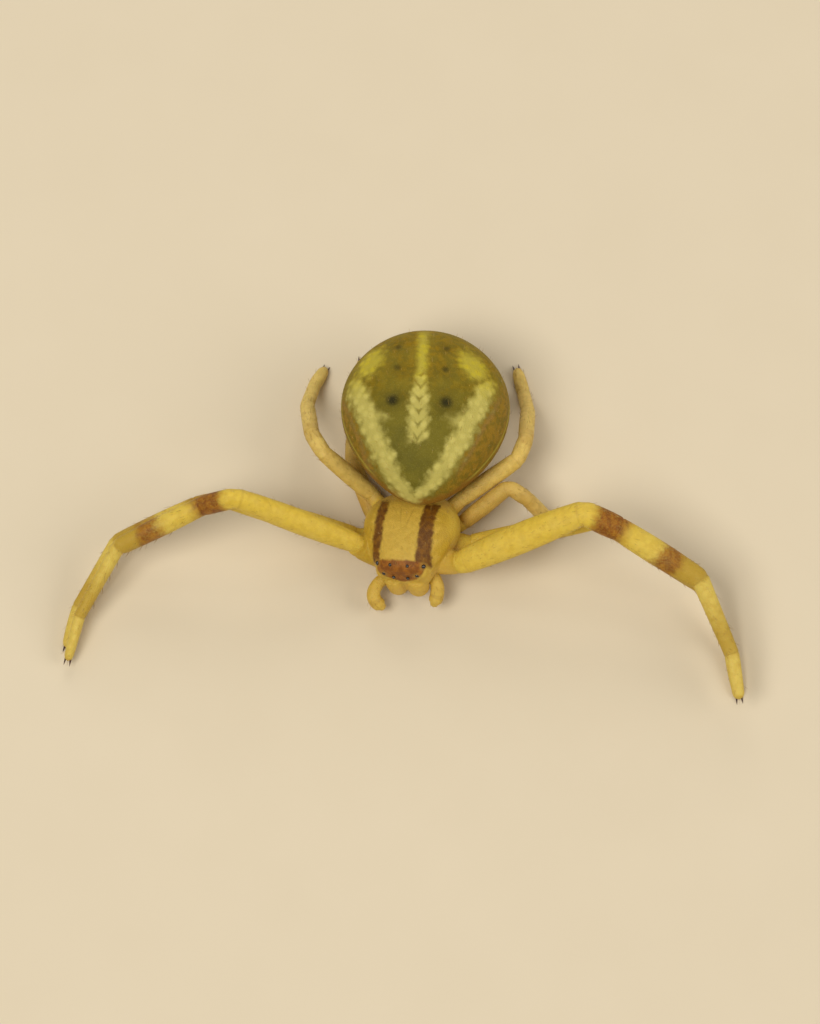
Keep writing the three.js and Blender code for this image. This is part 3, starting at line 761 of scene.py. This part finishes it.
# Places along a limb count its seven lengths: 2 to 3 is the thigh, 3 the knee, 4 the shin, 5 and 6 the foot
limbFinish = {
    "knee": ((3.14, 3.46), (3.98, 4.18)), "shin": ((4.4, 4.56), (4.66, 4.8)),
    "shinEnd": ((4.6, 4.7), (4.96, 5.04)), "footEnd": ((5.15, 5.8), (5.95, 6.1)),
    "faint": ((3.5, 3.7), (4.1, 4.25)),
    "colours": {
        "thigh": (0.72, 0.51, 0.062), "thighEnd": (0.74, 0.53, 0.058), "foot": (0.7, 0.53, 0.1),
        "third": (0.5, 0.3, 0.045), "fourth": (0.7, 0.49, 0.11), "hindFoot": (0.74, 0.54, 0.15),
        "palp": (0.63, 0.42, 0.065), "shade": (0.5, 0.3, 0.022), "hindShade": (0.38, 0.23, 0.035),
        "light": (0.7, 0.52, 0.11), "rust": (0.21, 0.06, 0.002), "rustLight": (0.33, 0.12, 0.004),
        "ankle": (0.42, 0.25, 0.014), "joint": (0.33, 0.17, 0.02), "speck": (0.78, 0.6, 0.18),
    },
}


def limbPaint():
    paint = Paint("limbSkin", {
        "Subsurface Weight": 0.2, "Subsurface Radius": (1.0, 0.65, 0.2), "Subsurface Scale": 0.00025,
        "Coat Weight": 0.05, "Coat Roughness": 0.35, "Specular IOR Level": 0.25,
    })
    marks, colours = limbFinish, limbFinish["colours"]
    broad, patchy, fine = paint.clouds(1.4, 4.5, 14)
    pair = paint.attribute("pair")  # 1 to 4 for the legs, 5 for the palps
    exact = paint.attribute("place")
    place = exact + broad * 0.12 + patchy * 0.12 + fine * 0.06

    def between(name):
        start, end = marks[name]
        return place.rise(*start) * place.fall(*end)

    # rusty rings on the two front pairs, strongest on the first
    first, front, palp = pair.fall(1.4, 2.0), pair.fall(2.4, 2.6), pair.rise(4.4, 4.6)
    ankle = between("shinEnd").most(between("footEnd") * 0.9) * front
    mark = between("knee").most(between("shin") * 0.92) * front * (0.65 + first * 0.35)
    faint = between("faint") * (1 - front) * 0.2
    # gold in front, duller behind
    gold = paint.mix(exact.rise(1.8, 3.0), colours["thigh"], colours["thighEnd"])
    gold = paint.mix(exact.rise(3.9, 4.8), gold, colours["foot"])
    dull = paint.mix(pair.rise(3.4, 3.6), colours["third"], colours["fourth"])
    dull = paint.mix(exact.rise(1.5, 4.5), dull, colours["hindFoot"])
    hind = pair.rise(2.4, 2.6) * pair.fall(4.4, 4.6)
    ground = paint.mix(hind, paint.mix(palp, gold, colours["palp"]), dull)
    shade = paint.mix(hind, colours["shade"], colours["hindShade"])
    ground = paint.mix((patchy + 0.5).rise(0.38, 0.64) * 0.3, ground, shade)
    ground = paint.mix((broad + 0.5).rise(0.4, 0.65) * 0.22, ground, colours["light"])
    ground = paint.mix(ankle * 0.75, ground, colours["ankle"])
    rust = paint.mix((patchy + 0.5).rise(0.38, 0.62), colours["rust"], colours["rustLight"])
    colour = paint.mix(mark.most(faint) * (0.95 + fine * 0.6), ground, rust)
    joint = abs((exact + 0.5).maths("FRACT") - 0.5).fall(0.0, 0.03) * (1 - palp)
    colour = paint.mix(joint * 0.22, colour, colours["joint"])
    speck = paint.grain(22)
    colour = paint.mix(speck.fall(0.0, 0.4) * 0.18, colour, colours["speck"])
    height = speck * -0.5 + paint.cloud(5, 4) * 1.1
    return paint.finish(colour, 0.42 + paint.cloud(8) * 0.2, height, 0.028)


def glossPaint(name, dark, light, scale):  # a dark horny finish with a slight cloud in it
    paint = Paint(name, {"Coat Weight": 0.6, "Coat Roughness": 0.05, "IOR": 1.5})
    cloud = paint.cloud(scale, 2)
    colour = paint.mix(cloud.rise(0.35, 0.7), dark, light)
    return paint.finish(colour, 0.12 + cloud * 0.12, cloud, 0.002)


# Per piece: bristles to a square millimetre, length and radius in millimetres, how far they stand up
bristles = {
    "sides": 4, "curve": 2.0, "seed": 11, "patch": 0.003,
    "legBristles": (7.0, 0.2, 0.006, 0.6), "palpBristles": (9.0, 0.19, 0.006, 0.8),
    "abdomenBristles": (2.6, 0.18, 0.006, 0.9), "bodyBristles": (3.0, 0.17, 0.006, 0.8),
}


def makeBristleTree():
    tree = bpy.data.node_groups.new("bristles", "GeometryNodeTree")
    face = tree.interface
    face.new_socket("Geometry", in_out="INPUT", socket_type="NodeSocketGeometry")
    for label, kind in (("Density", "Float"), ("Length", "Float"), ("Thickness", "Float"),
                        ("Lift", "Float"), ("Seed", "Int"), ("Hair", "Object"), ("Material", "Material")):
        face.new_socket(label, in_out="INPUT", socket_type="NodeSocket" + kind)
    face.new_socket("Geometry", in_out="OUTPUT", socket_type="NodeSocketGeometry")

    def node(kind, settings=None, inputs=None):
        made = tree.nodes.new(kind)
        for key, value in (settings or {}).items():
            setattr(made, key, value)
        for key, value in (inputs or {}).items():
            if isinstance(value, bpy.types.NodeSocket):
                tree.links.new(value, made.inputs[key])
            else:
                made.inputs[key].default_value = value
        return made

    def sumOf(a, b):
        return node("ShaderNodeVectorMath", {"operation": "ADD"}, {0: a, 1: b}).outputs[0]

    def scaled(a, factor):
        return node("ShaderNodeVectorMath", {"operation": "SCALE"}, {0: a, "Scale": factor}).outputs[0]

    def named(label):
        kind = {"data_type": "FLOAT_VECTOR"}
        return node("GeometryNodeInputNamedAttribute", kind, {"Name": label}).outputs[0]

    given = node("NodeGroupInput").outputs
    spread = node("GeometryNodeDistributePointsOnFaces", {"distribute_method": "RANDOM"},
                  {"Mesh": given["Geometry"], "Density": given["Density"], "Seed": given["Seed"]})
    stray = node("FunctionNodeRandomValue", {"data_type": "FLOAT_VECTOR"},
                 {0: (-0.35, -0.35, -0.35), 1: (0.35, 0.35, 0.35), "Seed": given["Seed"]})
    raised = scaled(spread.outputs["Normal"], given["Lift"])
    lean = sumOf(sumOf(raised, named("lie")), stray.outputs[0])
    turn = node("FunctionNodeAlignRotationToVector", {"axis": "Z"}, {"Vector": lean})
    size = node("FunctionNodeRandomValue", {"data_type": "FLOAT"},
                {2: 0.45, 3: 1.25, "Seed": given["Seed"]})
    tall = node("ShaderNodeMath", {"operation": "MULTIPLY"}, {0: size.outputs[1], 1: given["Length"]})
    scale = node("ShaderNodeCombineXYZ",
                 inputs={0: given["Thickness"], 1: given["Thickness"], 2: tall.outputs[0]})
    hair = node("GeometryNodeObjectInfo", inputs={"Object": given["Hair"]})
    put = node("GeometryNodeInstanceOnPoints", inputs={
        "Points": spread.outputs["Points"], "Instance": hair.outputs["Geometry"],
        "Rotation": turn.outputs[0], "Scale": scale.outputs[0]})
    real = node("GeometryNodeRealizeInstances", inputs={"Geometry": put.outputs[0]})
    # no bristle goes through the floor
    place = node("GeometryNodeInputPosition")
    parts = node("ShaderNodeSeparateXYZ", inputs={0: place.outputs[0]})
    above = node("ShaderNodeMath", {"operation": "MAXIMUM"}, {0: parts.outputs[2], 1: 0.00001})
    lifted = node("ShaderNodeCombineXYZ",
                  inputs={0: parts.outputs[0], 1: parts.outputs[1], 2: above.outputs[0]})
    kept = node("GeometryNodeSetPosition",
                inputs={"Geometry": real.outputs[0], "Position": lifted.outputs[0]})
    # each bristle is a small patch at its root's place on the skin's unwrap
    flat = sumOf(named("flat"), scaled(named("patch"), bristles["patch"]))
    mapped = node("GeometryNodeStoreNamedAttribute", {"data_type": "FLOAT2", "domain": "CORNER"},
                  {"Geometry": kept.outputs[0], "Name": "OFBake", "Value": flat})
    finish = node("GeometryNodeSetMaterial",
                  inputs={"Geometry": mapped.outputs[0], "Material": given["Material"]})
    out = node("NodeGroupOutput")
    tree.links.new(finish.outputs[0], out.inputs[0])
    return tree


def hairShape():  # one bristle, a unit tall and a unit in radius, bent over towards its tip
    rings, patch = [], [Vector((0.5, 0, 0))]
    for f, radius in ((-0.08, 1.0), (0.3, 0.85), (0.65, 0.6)):
        at = Vector((0, bristles["curve"] * max(f, 0) ** 2, f))
        turns = [k / bristles["sides"] for k in range(bristles["sides"])]
        rims = [Vector((math.cos(t * math.tau), math.sin(t * math.tau), 0)) * radius for t in turns]
        rings.append([at + rim for rim in rims])
        patch += [Vector((t, max(f, 0), 0)) for t in turns]
    points, faces = loft(rings, Vector((0, 0, -0.1)), Vector((0, bristles["curve"], 1)))
    mesh = bpy.data.meshes.new("hair")
    mesh.from_pydata(points, [], faces)
    layer = mesh.attributes.new("patch", "FLOAT_VECTOR", "POINT")
    for item, value in zip(layer.data, [*patch, Vector((0.5, 1, 0))]):
        item.vector = value
    return mesh


def growBristles(tree, hair, skin, name, material):
    density, length, thickness, lift = bristles[name]
    carrier = addObject(name + "Carrier", skin.data.copy())
    grow = carrier.modifiers.new("grow", "NODES")
    grow.node_group = tree
    values = {"Density": density / millimetre ** 2, "Length": length * millimetre, "Lift": lift,
              "Thickness": thickness * millimetre, "Seed": bristles["seed"],
              "Hair": hair, "Material": material}
    for item in tree.interface.items_tree:
        if item.in_out == "INPUT" and item.name in values:
            grow[item.identifier] = values[item.name]
    graph = bpy.context.evaluated_depsgraph_get()
    mesh = bpy.data.meshes.new_from_object(carrier.evaluated_get(graph))
    bpy.data.objects.remove(carrier)
    mesh.shade_smooth()
    return dress(name, mesh, material)


# Paired spines under the shins of the two front pairs, which hold the prey
spines = {"places": [4.38, 4.56, 4.74, 4.9, 5.12, 5.32, 5.52, 5.72], "length": 0.4, "radius": 0.017,
          "aside": 0.45, "down": 0.85, "forward": 0.9, "sides": 6}


def makeSpines(material):
    surfaces, flats = [], []
    for column, leg in enumerate(legs[:4]):
        stations = legStations(leg)
        for place in spines["places"]:
            i = min(range(1, len(stations) - 1), key=lambda k: abs(stations[k][2] - place))
            at, radius = stations[i][:2]
            run = (stations[i + 1][0] - stations[i - 1][0]).normalized()
            across = Vector((0, 0, 1)).cross(run).normalized()
            for hand in (1, -1):
                out = (across * hand * spines["aside"] - run.cross(across) * spines["down"]).normalized()
                way = (out + run * spines["forward"]).normalized()
                spots = [at + out * radius * 0.8 + way * spines["length"] * f + run * 0.12 * f * f
                         for f in (0, 0.4, 0.75, 1)]
                radii = [spines["radius"] * share for share in (1, 0.9, 0.6, 0.2)]
                surfaces.append(sweep(spots, radii, spines["sides"]))
                corner = Vector((0.02 + column * 0.12 + 0.04 + hand * 0.02, 0.05 + place * 0.12))
                for k in range(len(surfaces[-1][0])):  # each spine is a small patch on the leg's unwrap
                    step = Vector((k % spines["sides"], k // spines["sides"]))
                    flats.append(corner + step * bristles["patch"] / spines["sides"])
    points, faces = joined(surfaces)
    points = [Vector((p.x, p.y, max(p.z, 0.01))) for p in points]
    mesh = makeMesh("legSpines", points, faces)
    layer = mesh.uv_layers.new(name="OFBake")
    for loop in mesh.loops:
        layer.data[loop.index].uv = flats[loop.vertex_index]
    return dress("legSpines", mesh, material)


limbMaterial = limbPaint()
carapaceMaterial = carapacePaint()
eyeMaterial = glossPaint("eyeGloss", (0.006, 0.004, 0.004), (0.02, 0.01, 0.008), 5)
clawMaterial = glossPaint("clawHorn", (0.05, 0.018, 0.02), (0.1, 0.04, 0.03), 8)
fangMaterial = glossPaint("fangHorn", (0.09, 0.02, 0.006), (0.2, 0.05, 0.01), 8)

bodySkin = makeProsoma(carapaceMaterial)
abdomenSkin = makeAbdomen(abdomenPaint())
legSkin = makeLimbs("legSkin", legs, limbs["lengths"], limbs["radii"], limbs["begin"], limbMaterial)
palpSkin = makeLimbs("palpSkin", palps["limbs"], palps["lengths"], palps["radii"], 0, limbMaterial)
makeEyes(eyeMaterial)
makeClaws(clawMaterial)
makeFangs(fangMaterial)

bristleMaterial = glossPaint("bristle", (0.34, 0.2, 0.03), (0.58, 0.4, 0.1), 3)
makeSpines(glossPaint("spineHorn", (0.3, 0.15, 0.02), (0.5, 0.3, 0.06), 3))
hair = addObject("hair", hairShape())
tree = makeBristleTree()
coats = [
    (legSkin, "legBristles", "leg"), (palpSkin, "palpBristles", "leg"),
    (abdomenSkin, "abdomenBristles", "abdomen"), (bodySkin, "bodyBristles", "carapace"),
]
for skin, name, slot in coats:
    growBristles(tree, hair, skin, name, bristleMaterial)
bpy.data.objects.remove(hair)
print("bristles grown")

# The photo has 1024 rows, at 27 to a millimetre of the spider
studio = {
    "floor": 0.6, "elevation": 72, "distance": 0.25, "aim": Vector((0.273, 0.852, 0)) * millimetre,
    "viewHeight": 1024 / 27 * millimetre,
    "paper": [(0.71, 0.615, 0.45), (0.735, 0.64, 0.475)],
    # place, size, power, colour
    "lights": {
        "key": ((-0.12, -0.1, 0.3), 0.16, 0.66, (1.0, 0.97, 0.92)),
        "fill": ((0.25, -0.05, 0.2), 0.2, 0.32, (1.0, 0.95, 0.9)),
        "rim": ((0.0, 0.25, 0.18), 0.16, 0.22, (1.0, 0.98, 0.95)),
    },
    "world": ((1.0, 0.95, 0.86, 1), 0.28),
}


def makeFloor():
    half = studio["floor"]
    mesh = bpy.data.meshes.new("floor")
    corners = [(-half, -half, 0), (half, -half, 0), (half, half, 0), (-half, half, 0)]
    mesh.from_pydata(corners, [], [(0, 1, 2, 3)])
    paint = Paint("floorPaper", {"Specular IOR Level": 0.2})
    cloud = paint.cloud(0.3)
    colour = paint.mix(cloud, *studio["paper"])
    mesh.materials.append(paint.finish(colour, 0.8 + cloud * 0.1, cloud, 0.01))
    floor = addObject("floor", mesh)


def makeLight(name, place, size, power, colour):
    data = bpy.data.lights.new(name, "AREA")
    data.size = size
    data.energy = power
    data.color = colour
    lamp = addObject(name, data)
    lamp.location = place
    lamp.rotation_euler = (-Vector(place)).to_track_quat("-Z", "Y").to_euler()


makeFloor()
for name, settings in studio["lights"].items():
    makeLight(name, *settings)
world = bpy.data.worlds.new("studio")
world.use_nodes = True
background = world.node_tree.nodes["Background"]
background.inputs["Color"].default_value, background.inputs["Strength"].default_value = studio["world"]
bpy.context.scene.world = world
bpy.context.scene.view_settings.view_transform = "Standard"

lens = bpy.data.cameras.new("view")
lens.sensor_fit = "VERTICAL"
lens.sensor_height = 24
lens.lens = lens.sensor_height * studio["distance"] / studio["viewHeight"]
lens.clip_start = 0.01
camera = addObject("view", lens)
tilt = math.radians(studio["elevation"])
camera.location = studio["aim"] + Vector((0, -math.cos(tilt), math.sin(tilt))) * studio["distance"]
camera.rotation_euler = (math.pi / 2 - tilt, 0, 0)
bpy.context.scene.camera = camera
print("studio ready")
